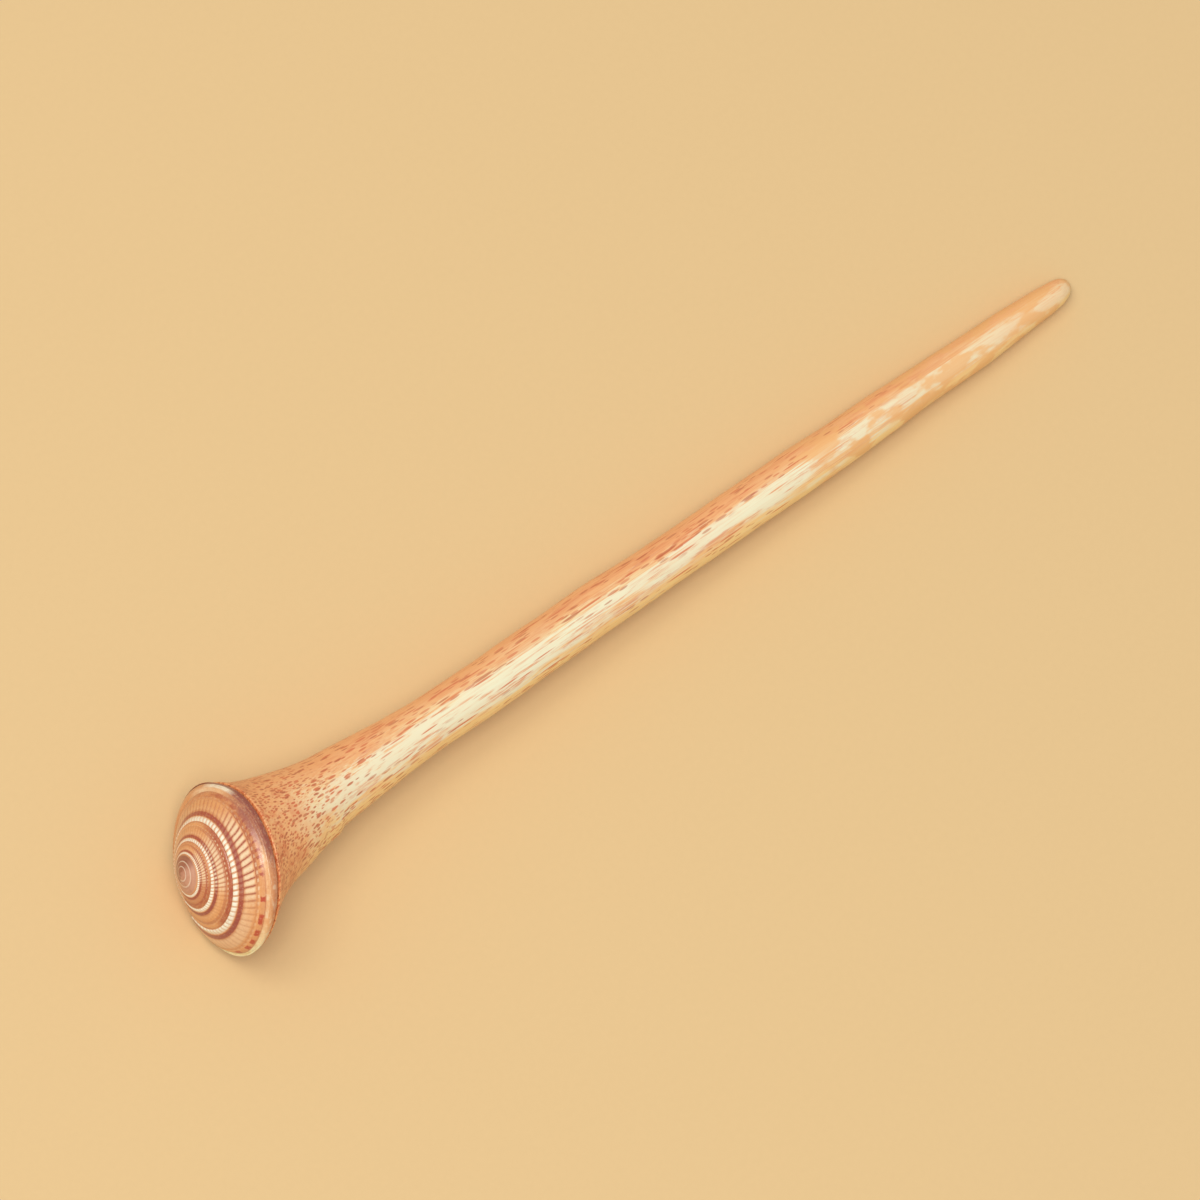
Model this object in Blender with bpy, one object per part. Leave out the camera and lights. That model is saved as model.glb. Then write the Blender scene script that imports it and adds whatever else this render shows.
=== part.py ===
"""Shell hair stick: a turned palm-wood stick whose flared end carries a sundial shell.

Two pieces, both in metres, +Z up, laid down at rest on the shell's rim and the stick's tip:
  stick  one bar of flecked palm wood, round and tapered, flaring into a slanted end face
  shell  one grown sundial shell, a low cone of four whorls coiling clockwise from the apex
"""
import math

import bmesh
import bpy
from mathutils import Matrix, Vector

# ---- shell ---------------------------------------------------------------------------
RIM_RADIUS = 0.0135          # mean radius of the outline seen along the shell's axis
LIP_ANGLE = 228.0            # where the last whorl ends, degrees clockwise round the axis
FIRST_TURN = LIP_ANGLE / 360.0 - 1.0      # the last whorl starts here, counted in turns
COLUMNS = 64                 # steps round the shell
WHORLS = 4                   # whorls modelled before the small cap at the apex
KEEL_HEIGHT = 0.0007         # keel above the flat underside
BASE_INSET = 0.0009          # underside stands in from the keel by this much
SHOULDER = 0.021             # least width of the plain band outside the coils, over the radius
LEAN = (0.0448, -0.0550)     # the coil leans over the keel's plane: slope towards the top and side
COIL_SHIFT = (-0.0172, 0.0237)      # and stands off the outline's centre, over the radius
APERTURE_WALL = 0.00035      # thickness of the lip round the mouth
APERTURE_DEPTH = 0.0022      # how far the mouth goes in

# ---- stick ---------------------------------------------------------------------------
STICK_LENGTH = 0.1799        # from the shell's centre to the tip, along the wood
FLARE_LENGTH = 0.0118        # distance over which the flare dies away
FLARE_UNEVEN = 0.05          # longer on the side under the top of the shell, shorter opposite
FLARE_INSET = 0.0003         # wood stands in from the shell's outline by this much
GAP = 0.0003                 # glue line left open between wood and shell
LIP_EASE = 0.07              # turns over which the wood steps in under the lip
SEAT_DENT = 0.020            # the flat place at the top of the outline is shallower in the wood
AROUND = 40                  # steps round the stick
# radius of the plain bar at stations along it, without the flare
BAR = ((0.000, 0.00433), (0.055, 0.00433), (0.068, 0.00418), (0.079, 0.00400),
       (0.090, 0.00382), (0.122, 0.00380), (0.132, 0.00360), (0.143, 0.00340),
       (0.154, 0.00307), (0.165, 0.00284), (0.174, 0.00238), (0.1768, 0.00212),
       (0.1784, 0.00168), (0.1794, 0.00098))
# depths behind the end face, then plain stations along the bar, where rings are cut
STATIONS = (0.0010, 0.0024, 0.0042, 0.0065, 0.0095, 0.0132, 0.0180, 0.0240, 0.0310, 0.0400)
BAR_STATIONS = (0.052, 0.068, 0.079, 0.090, 0.106, 0.122, 0.132, 0.143, 0.154, 0.165,
                0.174, 0.1768, 0.1784, 0.1794)

# ---- how the two stand to each other and to the floor -----------------------------------
SHELL_TILT = 21.0            # shell axis away from the stick's axis, degrees
SHELL_ROLL = 57.5            # direction of that tilt round the stick, degrees from up
SHELL_TOP = (0.340, 0.915, 0.215)   # where the top of the shell's outline points, in the bar's axes
SHELL_SHIFT = -0.0002        # the shell sits this much to one side of the bar's axis
STICK_DIP = 3.00             # the bar dips this much from the shell to the tip, degrees
STICK_ROLL = 5.65            # turn of the whole thing round the bar, degrees


def smooth(value):
    value = min(1.0, max(0.0, value))
    return value * value * (3.0 - 2.0 * value)


def cord(turns):
    """Distance from the axis, over the rim radius, of the spiral that many turns inward."""
    return math.exp(-0.1167 - 0.4421 * turns - 0.0118 * turns * turns)


def outline(turn, dent=0.039):
    """Distance of the keel from the axis at a turn counted clockwise from the top."""
    grown = math.exp(-0.0376 + 0.1773 * turn + 0.0713 * turn * turn)
    flat = dent * math.exp(-((turn - 0.049) / 0.06) ** 2)
    under_lip = 0.045 * smooth((-0.2 - turn) / 0.167)
    at_lip = 0.11 * smooth((turn - 0.47) / 0.163)
    return grown * (1.0 - flat - under_lip - at_lip)


def dome(reach):
    """Height of the plain cone above the keel at a distance from the axis."""
    rounding = 3.81 * max(0.0, reach - 0.86) ** 2
    return 0.6005 - 0.2236 * reach - 0.573 * reach ** 2 + 0.274 * reach ** 3 - rounding


def leaned(turn, reach, height):
    """A point of the coil carried over to the outline's own centre and plane."""
    angle = 2.0 * math.pi * turn
    slope = LEAN[0] * math.cos(angle) + LEAN[1] * math.sin(angle)
    shift = COIL_SHIFT[0] * math.cos(angle) + COIL_SHIFT[1] * math.sin(angle)
    return reach + shift + slope * height, height - slope * reach


def relief(step):
    """Height of the cords and grooves across one whorl, as a share of the local radius."""
    beads = 0.016 * math.exp(-((step - 0.985) / 0.030) ** 2)
    spotted = 0.012 * math.exp(-((step - 0.130) / 0.055) ** 2)
    ribbed = 0.006 * smooth((step - 0.27) / 0.1) * smooth((0.84 - step) / 0.1)
    suture = -0.010 * math.exp(-((step - 0.040) / 0.020) ** 2)
    return beads + spotted + ribbed + suture


def placed(turn, reach, height):
    """A point in the shell's own axes; its height is counted from the keel."""
    angle = 2.0 * math.pi * turn
    flat = Vector((math.cos(angle), -math.sin(angle), 0.0)) * (reach * RIM_RADIUS)
    return flat + Vector((0.0, 0.0, height * RIM_RADIUS + KEEL_HEIGHT))


def column(turn):
    """Points of the shell's upper side from the keel inward, at one turn."""
    edge = outline(turn)
    inner, free = cord(1.04 - turn), cord(0.04 - turn)
    start = min(free, edge - SHOULDER - leaned(turn, 0.0, 0.0)[0])
    lost = 1.0 - (start - inner) / (free - inner)
    foot, top = leaned(turn, start, dome(start))
    bulge = 1.3 + 0.9 * smooth((turn - FIRST_TURN) / 0.12)
    points = []
    for share in (1.0, 0.93, 0.72, 0.36):
        reach = foot + (edge - foot) * share
        points.append(placed(turn, reach, top * (1.0 - share ** bulge)))
    for whorl in range(WHORLS):
        for step in (0.04, 0.13, 0.29, 0.55, 0.80, 0.93, 0.985):
            reach = cord(whorl + step - turn)
            if whorl == 0:
                part = (reach - inner) / (free - inner)
                reach = inner + (free - inner) * (part - lost * part ** 2.5)
            points.append(placed(turn, *leaned(turn, reach, dome(reach) + relief(step) * reach)))
    reach = cord(WHORLS + 0.04 - turn)
    points.append(placed(turn, *leaned(turn, reach, dome(reach))))
    return points


def height_at(path, reach):
    """Height of a path, in the plane of the mouth, at a distance from the axis."""
    path = sorted((math.hypot(p.x, p.y), p.z) for p in path)
    for (r0, z0), (r1, z1) in zip(path, path[1:]):
        if reach <= r1:
            return z0 + (z1 - z0) * max(0.0, (reach - r0) / max(r1 - r0, 1e-9))
    return path[-1][1]


def shell_mesh():
    rows_out, rows_whorl = 4, 7
    bm = bmesh.new()
    columns = [[bm.verts.new(p) for p in column(FIRST_TURN + j / COLUMNS)] for j in range(COLUMNS)]
    # the last column: its inner part is the first column again, one whorl further in
    closing = [bm.verts.new(p) for p in column(FIRST_TURN + 1.0)[:rows_out + rows_whorl]]
    closing += columns[0][rows_out:rows_out + 1 + (WHORLS - 1) * rows_whorl]
    columns.append(closing)
    rows = rows_out + WHORLS * rows_whorl + 1
    for left, right in zip(columns, columns[1:]):
        for i in range(rows - 1):
            bm.faces.new((left[i], left[i + 1], right[i + 1], right[i]))
    # cap at the apex
    loop = [col[rows - 1] for col in columns[:-1]]
    loop += columns[0][rows - 1 - rows_whorl:rows - 1]
    apex = bm.verts.new(placed(0.0, *leaned(0.0, 0.0, dome(0.0))))
    for a, b in zip(loop, loop[1:] + loop[:1]):
        bm.faces.new((a, apex, b))
    # underside: a short bevel below the keel, then the flat that is glued to the wood
    lower = []
    for col in columns:
        flat = Vector((col[0].co.x, col[0].co.y, 0.0))
        lower.append(bm.verts.new(flat * (1.0 - BASE_INSET / flat.length)))
    for j in range(COLUMNS):
        bm.faces.new((columns[j][0], columns[j + 1][0], lower[j + 1], lower[j]))
    bm.faces.new(list(reversed(lower)))
    # mouth: the wall where the last whorl stops, hollowed
    above = [columns[COLUMNS][i] for i in range(rows_out + rows_whorl + 1)]
    below = [columns[0][i] for i in range(rows_out, -1, -1)] + [lower[0], lower[COLUMNS]]
    roof = [v.co for v in above]
    floor = [v.co for v in below[:-2]]
    step_end = math.hypot(below[-3].co.x, below[-3].co.y)
    ray = Vector((roof[0].x, roof[0].y, 0.0)).normalized()
    high, low = [], []
    for reach in (0.0111, 0.0115, 0.0119, 0.0123, 0.0127):
        bottom = height_at(floor, reach) if reach < step_end else 0.0003
        high.append(bm.verts.new(ray * reach + Vector((0, 0, height_at(roof, reach) - APERTURE_WALL))))
        low.append(bm.verts.new(ray * reach + Vector((0, 0, bottom + APERTURE_WALL))))
    bm.faces.new(above + high)
    bm.faces.new(below + [above[0], high[-1]] + list(reversed(low)) + [high[0]])
    rim = high + list(reversed(low))
    back = ray.cross(Vector((0, 0, 1))) * APERTURE_DEPTH
    deep = [bm.verts.new(v.co - back) for v in rim]
    for a, b, c, d in zip(rim, rim[1:] + rim[:1], deep[1:] + deep[:1], deep):
        bm.faces.new((a, b, c, d))
    bm.faces.new(deep)
    bmesh.ops.recalc_face_normals(bm, faces=bm.faces[:])
    mesh = bpy.data.meshes.new("shell")
    bm.to_mesh(mesh)
    bm.free()
    return mesh


def bar_radius(x):
    for (x0, r0), (x1, r1) in zip(BAR, BAR[1:]):
        if x <= x1:
            share = max(0.0, (x - x0) / (x1 - x0))
            return r0 + (r1 - r0) * share
    return BAR[-1][1]


def seat_outline(turn):
    """Outline of the wood's end face: the shell's own, with its dent and its lip eased."""
    turn = (turn - FIRST_TURN) % 1.0 + FIRST_TURN
    left = smooth((FIRST_TURN + 1.0 - turn) / LIP_EASE)
    edge = outline(FIRST_TURN, SEAT_DENT) * (1.0 - left) + outline(turn, SEAT_DENT) * left
    return edge * RIM_RADIUS - FLARE_INSET


def flare(depth, turn):
    """Share of the flare left at a depth behind the end face."""
    length = FLARE_LENGTH * (1.0 + FLARE_UNEVEN * math.cos(2.0 * math.pi * turn))
    return math.exp(-depth / length)


def stick_mesh(shell_turn):
    """The bar along +X; shell_turn carries the shell's axes into the bar's."""
    axis = shell_turn @ Vector((0.0, 0.0, 1.0))
    bm = bmesh.new()
    seat = []
    for k in range(AROUND):
        turn = k / AROUND
        angle = 2.0 * math.pi * turn
        across = shell_turn @ Vector((math.cos(angle), -math.sin(angle), 0.0))
        seat.append(across * seat_outline(turn) - axis * GAP + Vector((0.0, SHELL_SHIFT, 0.0)))

    def ring(at):
        verts = []
        for k, edge in enumerate(seat):
            x = at(edge)
            out = Vector((0.0, edge.y, edge.z))
            reach = bar_radius(x)
            reach += (out.length - bar_radius(edge.x)) * flare(x - edge.x, k / AROUND)
            out = out.normalized() * reach
            verts.append(bm.verts.new((x, out.y, out.z)))
        return verts

    rings = [ring(lambda edge: edge.x)]
    rings += [ring(lambda edge, depth=depth: edge.x * (1.0 - depth / STATIONS[-1]) + depth)
              for depth in STATIONS]
    rings += [ring(lambda edge, x=x: x) for x in BAR_STATIONS]
    for a, b in zip(rings, rings[1:]):
        for k in range(AROUND):
            n = (k + 1) % AROUND
            bm.faces.new((a[k], a[n], b[n], b[k]))
    tip = bm.verts.new((STICK_LENGTH, 0.0, 0.0))
    for k in range(AROUND):
        bm.faces.new((rings[-1][k], rings[-1][(k + 1) % AROUND], tip))
    bm.faces.new(list(reversed(rings[0])))
    bmesh.ops.recalc_face_normals(bm, faces=bm.faces[:])
    mesh = bpy.data.meshes.new("stick")
    bm.to_mesh(mesh)
    bm.free()
    return mesh


def material(name, colour, roughness):
    mat = bpy.data.materials.new(name)
    mat.use_nodes = True
    shader = mat.node_tree.nodes["Principled BSDF"]
    shader.inputs["Base Color"].default_value = (*colour, 1.0)
    shader.inputs["Roughness"].default_value = roughness
    shader.inputs["Metallic"].default_value = 0.0
    return mat


def add(collection, mesh, mat, place):
    mesh.materials.append(mat)
    for face in mesh.polygons:
        face.use_smooth = True
    obj = bpy.data.objects.new(mesh.name, mesh)
    collection.objects.link(obj)
    obj.matrix_world = place
    return obj


def shell_axes():
    """Turn from the shell's own axes (apex along +Z, top of the outline along +X) to the bar's."""
    tilt, roll = math.radians(SHELL_TILT), math.radians(SHELL_ROLL)
    axis = Vector((-math.cos(tilt), math.sin(tilt) * math.sin(roll), math.sin(tilt) * math.cos(roll)))
    top = Vector(SHELL_TOP)
    top = (top - axis * top.dot(axis)).normalized()
    side = axis.cross(top)
    return Matrix((top, side, axis)).transposed()


def lie_down(objects):
    """Set the pieces on the floor, over the middle of their own bounds."""
    points = [obj.matrix_world @ v.co for obj in objects for v in obj.data.vertices]
    low = [min(p[i] for p in points) for i in range(3)]
    high = [max(p[i] for p in points) for i in range(3)]
    shift = Vector((-(low[0] + high[0]) / 2.0, -(low[1] + high[1]) / 2.0, -low[2]))
    for obj in objects:
        obj.matrix_world = Matrix.Translation(shift) @ obj.matrix_world


def main():
    for obj in list(bpy.data.objects):
        bpy.data.objects.remove(obj, do_unlink=True)
    collection = bpy.data.collections.new("shell_hair_stick")
    bpy.context.scene.collection.children.link(collection)
    turn = shell_axes()
    wood = material("palm_wood", (0.80, 0.50, 0.26), 0.35)
    grown = material("sundial_shell", (0.62, 0.34, 0.20), 0.30)
    rest = (Matrix.Rotation(math.radians(STICK_DIP), 4, "Y")
            @ Matrix.Rotation(math.radians(STICK_ROLL), 4, "X"))
    stick = add(collection, stick_mesh(turn), wood, rest)
    shell = add(collection, shell_mesh(), grown,
                rest @ Matrix.Translation((0.0, SHELL_SHIFT, 0.0)) @ turn.to_4x4())
    lie_down((stick, shell))


main()
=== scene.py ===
"""Looks of the shell hair stick: a palm-wood stick with a sundial shell glued on its flared end."""

import math
from types import SimpleNamespace

import bmesh
import bpy
import numpy as np
from bpy.props import FloatProperty, FloatVectorProperty, IntProperty, PointerProperty
from mathutils import Matrix, Vector


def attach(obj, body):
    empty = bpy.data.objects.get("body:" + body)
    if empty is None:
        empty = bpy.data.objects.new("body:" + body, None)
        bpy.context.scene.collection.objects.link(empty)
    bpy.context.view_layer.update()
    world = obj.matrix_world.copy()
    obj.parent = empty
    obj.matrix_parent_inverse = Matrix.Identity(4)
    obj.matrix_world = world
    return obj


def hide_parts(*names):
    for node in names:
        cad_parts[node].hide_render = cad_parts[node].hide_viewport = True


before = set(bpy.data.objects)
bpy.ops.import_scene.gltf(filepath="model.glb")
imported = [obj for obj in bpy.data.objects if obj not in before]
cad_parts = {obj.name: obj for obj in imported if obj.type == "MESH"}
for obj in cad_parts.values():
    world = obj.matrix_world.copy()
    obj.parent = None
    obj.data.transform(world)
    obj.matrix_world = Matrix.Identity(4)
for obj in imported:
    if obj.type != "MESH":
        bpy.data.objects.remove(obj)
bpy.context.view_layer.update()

bl_info = {
    "name": "Shell Hair Stick",
    "version": (1, 0, 0),
    "blender": (4, 5, 0),
    "location": "View3D > Sidebar > Hair Stick",
    "description": "Builds a palm-wood hair stick with a sundial shell, and a stage for it",
    "category": "Add Mesh",
}

# ---- how the pieces stand, as in the model ------------------------------------------------
STICK_LENGTH = 0.1799                # from the shell's centre to the tip, along the wood
STICK_DIP, STICK_ROLL = 3.00, 5.65   # the whole thing lies turned by these, degrees
SHELL_TILT, SHELL_ROLL = 21.0, 57.5  # the shell's axis against the bar's, degrees
SHELL_TOP = (0.340, 0.915, 0.215)    # where the top of the shell's outline points
SHELL_SHIFT = -0.0002                # the shell sits this much to one side of the bar
VIEW = (-0.42262, -0.05517, 0.90463)     # towards the viewer, in the bar's axes
VIEW_UP = (0.51415, 0.80737, 0.28943)

# ---- the shell's form -----------------------------------------------------------------------
LIP_ANGLE = 228.0                    # where the last whorl ends, degrees round the axis
FIRST_TURN = LIP_ANGLE / 360.0 - 1.0
WHORLS = 5
KEEL_HEIGHT = 0.0007                 # keel above the flat underside
BASE_INSET = 0.0009                  # underside stands in from the keel by this much
SHOULDER = 0.021                     # least width of the plain band, over the rim radius
LEAN = (0.0448, -0.0550)             # the coil leans over the keel's plane
COIL_SHIFT = (-0.0172, 0.0237)       # and stands off the outline's centre
SUTURE = 0.04                        # the coil is cut into whorls here
SUTURE_SIDE = 0.105                  # a whorl's colours begin here, just past the suture's groove
BAND_SPAN = 0.5                      # coil numbers that the plain outer band takes up
RIB_SKEW = 2                         # ribs gained or lost from one whorl to the next
# steps across one whorl, close together where a cord or a groove runs
STEPS = (0.040, 0.070, 0.092, 0.106, 0.122, 0.145, 0.175, 0.205, 0.228, 0.245, 0.268, 0.290, 0.308,
         0.335, 0.390, 0.460, 0.530, 0.600, 0.670, 0.730, 0.790, 0.845, 0.882, 0.905, 0.930, 0.955,
         0.980, 1.010)
BAND_SHARES = (0.965, 0.93, 0.89, 0.85, 0.81, 0.77, 0.73, 0.66, 0.57, 0.48, 0.38, 0.28, 0.18, 0.09)
NOSE_STEPS = 6                       # points round the keel's edge
NOSE_RADIUS = 0.00026
NOSE_RISE = 0.00012                  # the nose's middle stands this much over the keel's plane
MOUTH_WALL = 0.00035
MOUTH_DEPTH = 0.045                  # turns that the mouth goes in

# ---- the stick's form ------------------------------------------------------------------------
FLARE_LENGTH = 0.0118
FLARE_UNEVEN = 0.05
FLARE_INSET = 0.0003
SEAT_GAP = 0.00006                   # glue line
SEAT_DENT = 0.020
LIP_EASE = 0.07
TIP_GROWTH = 0.0008                  # the fine tip reaches this much past the plain model's
TIP_REST = 0.00010                   # the tip's lower side is worn flat by this much
SLANT_DEPTH = 0.040                  # the slant of the end face is gone this far down the bar
BAR = ((0.000, 0.00433), (0.055, 0.00433), (0.068, 0.00418), (0.079, 0.00400),
       (0.090, 0.00382), (0.122, 0.00380), (0.132, 0.00360), (0.143, 0.00340),
       (0.154, 0.00307), (0.165, 0.00284), (0.174, 0.00238), (0.1768, 0.00212),
       (0.1784, 0.00168), (0.1794, 0.00098), (0.1799, 0.0))
# swellings and hollows left by the knife: place along the bar, side, amount, length
HAND_CUT = ((0.0130, 1, 0.00020, 0.004), (0.0250, 1, 0.00026, 0.006), (0.0430, 1, -0.00030, 0.007),
            (0.0540, 1, -0.00020, 0.006), (0.0770, 1, 0.00026, 0.007), (0.1280, 1, -0.00014, 0.006),
            (0.0110, -1, 0.00055, 0.005), (0.0400, -1, -0.00032, 0.007), (0.0700, -1, -0.00018, 0.013),
            (0.1280, -1, 0.00010, 0.008), (0.1460, -1, -0.00018, 0.004), (0.1580, -1, 0.00020, 0.006))
LEDGE = (0.0187, 0.00045)            # where a small ledge is left on the lower side, its height
BOW = 0.00020                        # the bar's middle line runs this much to the lower side

# ---- the stage -------------------------------------------------------------------------------
SKY = (0.88, 1.0, 1.0, 1.0)
SKY_STRENGTH = 0.50
LIGHT_DISTANCE = 2.2
# lights: up and right of the viewer's line, size, power, colour
LIGHTS = {"key": (0.36, -0.28, 0.90, 13.0, (0.99, 0.96, 0.88)),
          "front": (0.02, -0.02, 0.90, 27.0, (0.96, 0.96, 0.93))}
LIT_RIGHT, LIT_UP = 0.05, 0.03       # the lights look at this place, seen from the shell
FLOOR_SIZE = 6.0
FLOOR_DROP = 0.00002                 # the floor lies this much under the part


# ==== settings ==================================================================================

class ShellSettings(bpy.types.PropertyGroup):
    """Sizes and colours of the sundial shell"""
    rim_radius: FloatProperty(
        name="Rim radius", description="Mean radius of the outline", default=0.0135,
        unit="LENGTH", subtype="DISTANCE")
    ribs: IntProperty(
        name="Ribs", description="Ribs and beads in one turn", default=62, min=24, max=96)
    bead_height: FloatProperty(
        name="Bead height", description="Height of the beaded cord, over the local radius",
        default=0.021)
    rib_depth: FloatProperty(
        name="Rib depth", description="Depth of the grooves between ribs, over the local radius",
        default=0.0060)
    tan: FloatVectorProperty(
        name="Tan", description="Ground colour of the ribbed band", subtype="COLOR_GAMMA",
        default=(0.91, 0.64, 0.41))
    # cream is also laid as a painted highlight on rib tops and near the outer band's top
    cream: FloatVectorProperty(
        name="Cream", description="Glossy rib tops and the plain band", subtype="COLOR_GAMMA",
        default=(0.96, 0.87, 0.73))
    bead: FloatVectorProperty(
        name="Bead", description="The beaded cord", subtype="COLOR_GAMMA",
        default=(0.98, 0.95, 0.87))
    rust: FloatVectorProperty(
        name="Rust", description="Dark band and spots", subtype="COLOR_GAMMA",
        default=(0.66, 0.29, 0.20))
    mauve: FloatVectorProperty(
        name="Mauve", description="Blotch on the outer band and the apex", subtype="COLOR_GAMMA",
        default=(0.62, 0.35, 0.29))


class StickSettings(bpy.types.PropertyGroup):
    """Sizes and colours of the palm-wood stick"""
    sides: IntProperty(
        name="Sides", description="Steps round the stick", default=176, min=24, max=256)
    ring_step: FloatProperty(
        name="Ring step", description="Distance between rings on the bar", default=0.0009,
        unit="LENGTH", subtype="DISTANCE")
    fibre_spacing: FloatProperty(
        name="Fibre spacing", description="Distance between the dark fibre bundles",
        default=0.00050, unit="LENGTH", subtype="DISTANCE")
    pale: FloatVectorProperty(
        name="Pale wood", description="Lightest streaks", subtype="COLOR_GAMMA",
        default=(0.95, 0.82, 0.62))
    honey: FloatVectorProperty(
        name="Honey wood", description="Ground colour", subtype="COLOR_GAMMA",
        default=(0.95, 0.74, 0.51))
    orange: FloatVectorProperty(
        name="Orange wood", description="Warm stained streaks", subtype="COLOR_GAMMA",
        default=(0.95, 0.65, 0.42))
    fleck: FloatVectorProperty(
        name="Fleck", description="Fibre bundles", subtype="COLOR_GAMMA",
        default=(0.83, 0.40, 0.23))


class StageSettings(bpy.types.PropertyGroup):
    """Floor, lights and camera"""
    floor: FloatVectorProperty(
        name="Floor", description="Colour of the floor", subtype="COLOR_GAMMA",
        default=(0.874, 0.725, 0.526))
    distance: FloatProperty(
        name="Camera distance", description="From the shell to the camera", default=1.5,
        unit="LENGTH", subtype="DISTANCE")
    lens: FloatProperty(
        name="Lens", description="Focal length", default=296.0, unit="CAMERA")
    aim_right: FloatProperty(
        name="Aim right", description="Middle of the view, right of the shell", default=0.05712,
        unit="LENGTH", subtype="DISTANCE")
    aim_up: FloatProperty(
        name="Aim up", description="Middle of the view, above the shell", default=0.04018,
        unit="LENGTH", subtype="DISTANCE")


# ==== placing ===================================================================================

def shell_axes():
    """Turn from the shell's own axes (apex along +Z, top of the outline along +X) to the bar's."""
    tilt, roll = math.radians(SHELL_TILT), math.radians(SHELL_ROLL)
    axis = Vector((-math.cos(tilt), math.sin(tilt) * math.sin(roll), math.sin(tilt) * math.cos(roll)))
    top = Vector(SHELL_TOP)
    top = (top - axis * top.dot(axis)).normalized()
    return Matrix((top, axis.cross(top), axis)).transposed()


def lying():
    """The bar's place in the frame: turned as it lies, its tip on the model's tip."""
    turn = (Matrix.Rotation(math.radians(STICK_DIP), 4, "Y")
            @ Matrix.Rotation(math.radians(STICK_ROLL), 4, "X"))
    tip = max((v.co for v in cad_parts["stick"].data.vertices), key=lambda co: co.x)
    return Matrix.Translation(tip - turn @ Vector((STICK_LENGTH, 0.0, 0.0))) @ turn


def shell_place():
    return lying() @ Matrix.Translation((0.0, SHELL_SHIFT, 0.0)) @ shell_axes().to_4x4()


# ==== shell form ================================================================================

def smooth(value):
    value = np.clip(value, 0.0, 1.0)
    return value * value * (3.0 - 2.0 * value)


def bump(value, middle, width):
    return np.exp(-((value - middle) / width) ** 2)


def cord(turns):
    """Distance from the axis, over the rim radius, of the spiral that many turns inward."""
    return np.exp(-0.1167 - 0.4421 * turns - 0.0118 * turns * turns)


def outline(turn, dent=0.039):
    """Distance of the keel from the axis at a turn counted clockwise from the top."""
    grown = np.exp(-0.0376 + 0.1773 * turn + 0.0713 * turn * turn)
    flat = dent * bump(turn, 0.049, 0.06)
    under_lip = 0.045 * smooth((-0.2 - turn) / 0.167)
    at_lip = 0.11 * smooth((turn - 0.47) / 0.163)
    return grown * (1.0 - flat - under_lip - at_lip)


def dome(reach):
    """Height of the plain cone above the keel at a distance from the axis."""
    rounding = 3.81 * np.maximum(0.0, reach - 0.86) ** 2
    return 0.6005 - 0.2236 * reach - 0.573 * reach ** 2 + 0.274 * reach ** 3 - rounding


def leaned(turn, reach, height):
    """A point of the coil carried over to the outline's own centre and plane."""
    angle = 2.0 * math.pi * turn
    slope = LEAN[0] * np.cos(angle) + LEAN[1] * np.sin(angle)
    shift = COIL_SHIFT[0] * np.cos(angle) + COIL_SHIFT[1] * np.sin(angle)
    return reach + shift + slope * height, height - slope * reach


def relief(turn, coil, ribs, bead_height, rib_depth):
    """Height of beads, ribs, cords and grooves over the local radius, from the cords' tops."""
    whorl = np.floor(coil - SUTURE)
    step = coil - whorl
    age = turn - whorl
    phase = ribs * turn - RIB_SKEW * coil
    crest = 0.5 + 0.5 * np.cos(2.0 * math.pi * phase)
    groove = (1.0 - crest) ** 4
    uneven = 1.0 + 0.18 * np.sin(2.3 * np.round(phase)) * np.cos(1.7 * np.round(phase) + 0.6)
    late = smooth((age - 0.36) / 0.16)
    nearest = np.maximum(1.0, np.round(coil))
    beads = bead_height * bump(coil, nearest, 0.066)
    beads = beads * (0.45 + 0.55 * smooth(crest * 1.7) * uneven * (1.0 - 0.75 * late) + 0.35 * late)
    sutures = -0.013 * bump(coil, nearest + 0.108, 0.016)
    spotted = 0.011 * bump(step, 0.172, 0.046) * (0.8 + 0.2 * crest)
    dotted = 0.0045 * bump(step, 0.268, 0.018) * (0.35 + 0.65 * crest)
    lines = -0.0045 * (bump(step, 0.240, 0.010) + bump(step, 0.308, 0.010))
    edge = -0.0060 * bump(step, 0.900, 0.013)
    inside = smooth((step - 0.30) / 0.06) * smooth((0.91 - step) / 0.05)
    ribbed = inside * (0.0065 - rib_depth * groove * (1.0 - 0.7 * late))
    fading = 1.0 - smooth((coil - 2.7) / 1.5)
    return (beads + sutures + spotted + dotted + lines + edge + ribbed) * fading - 0.8 * bead_height


def coil_row(turn, coil, settings):
    """Reach and height of one row of the coil, over the rim radius, at every turn."""
    inner, free = cord(1.04 - turn), cord(SUTURE - turn)
    start = np.minimum(free, outline(turn) - SHOULDER - leaned(turn, 0.0, 0.0)[0])
    reach = cord(coil - turn)
    if coil < 1.0 + SUTURE:
        lost = 1.0 - (start - inner) / (free - inner)
        part = np.clip((reach - inner) / (free - inner), 0.0, 1.0)
        reach = inner + (free - inner) * (part - lost * part ** 2.5)
    rise = relief(turn, coil, settings.ribs, settings.bead_height, settings.rib_depth) * reach
    return leaned(turn, reach, dome(reach) + rise)


def band_row(turn, share, settings):
    """Reach and height of the plain band between the coil (share 0) and the keel (share 1)."""
    foot, top = coil_row(turn, SUTURE, settings)
    bulge = 1.3 + 0.9 * smooth((turn - FIRST_TURN) / 0.12)
    low_cord = 0.006 * bump(share, 0.70, 0.10) - 0.007 * bump(share, 0.83, 0.045)
    reach = foot + (outline(turn) - foot) * share
    return reach, top * (1.0 - share ** bulge) + low_cord * smooth((1.0 - share) / 0.1)


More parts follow.
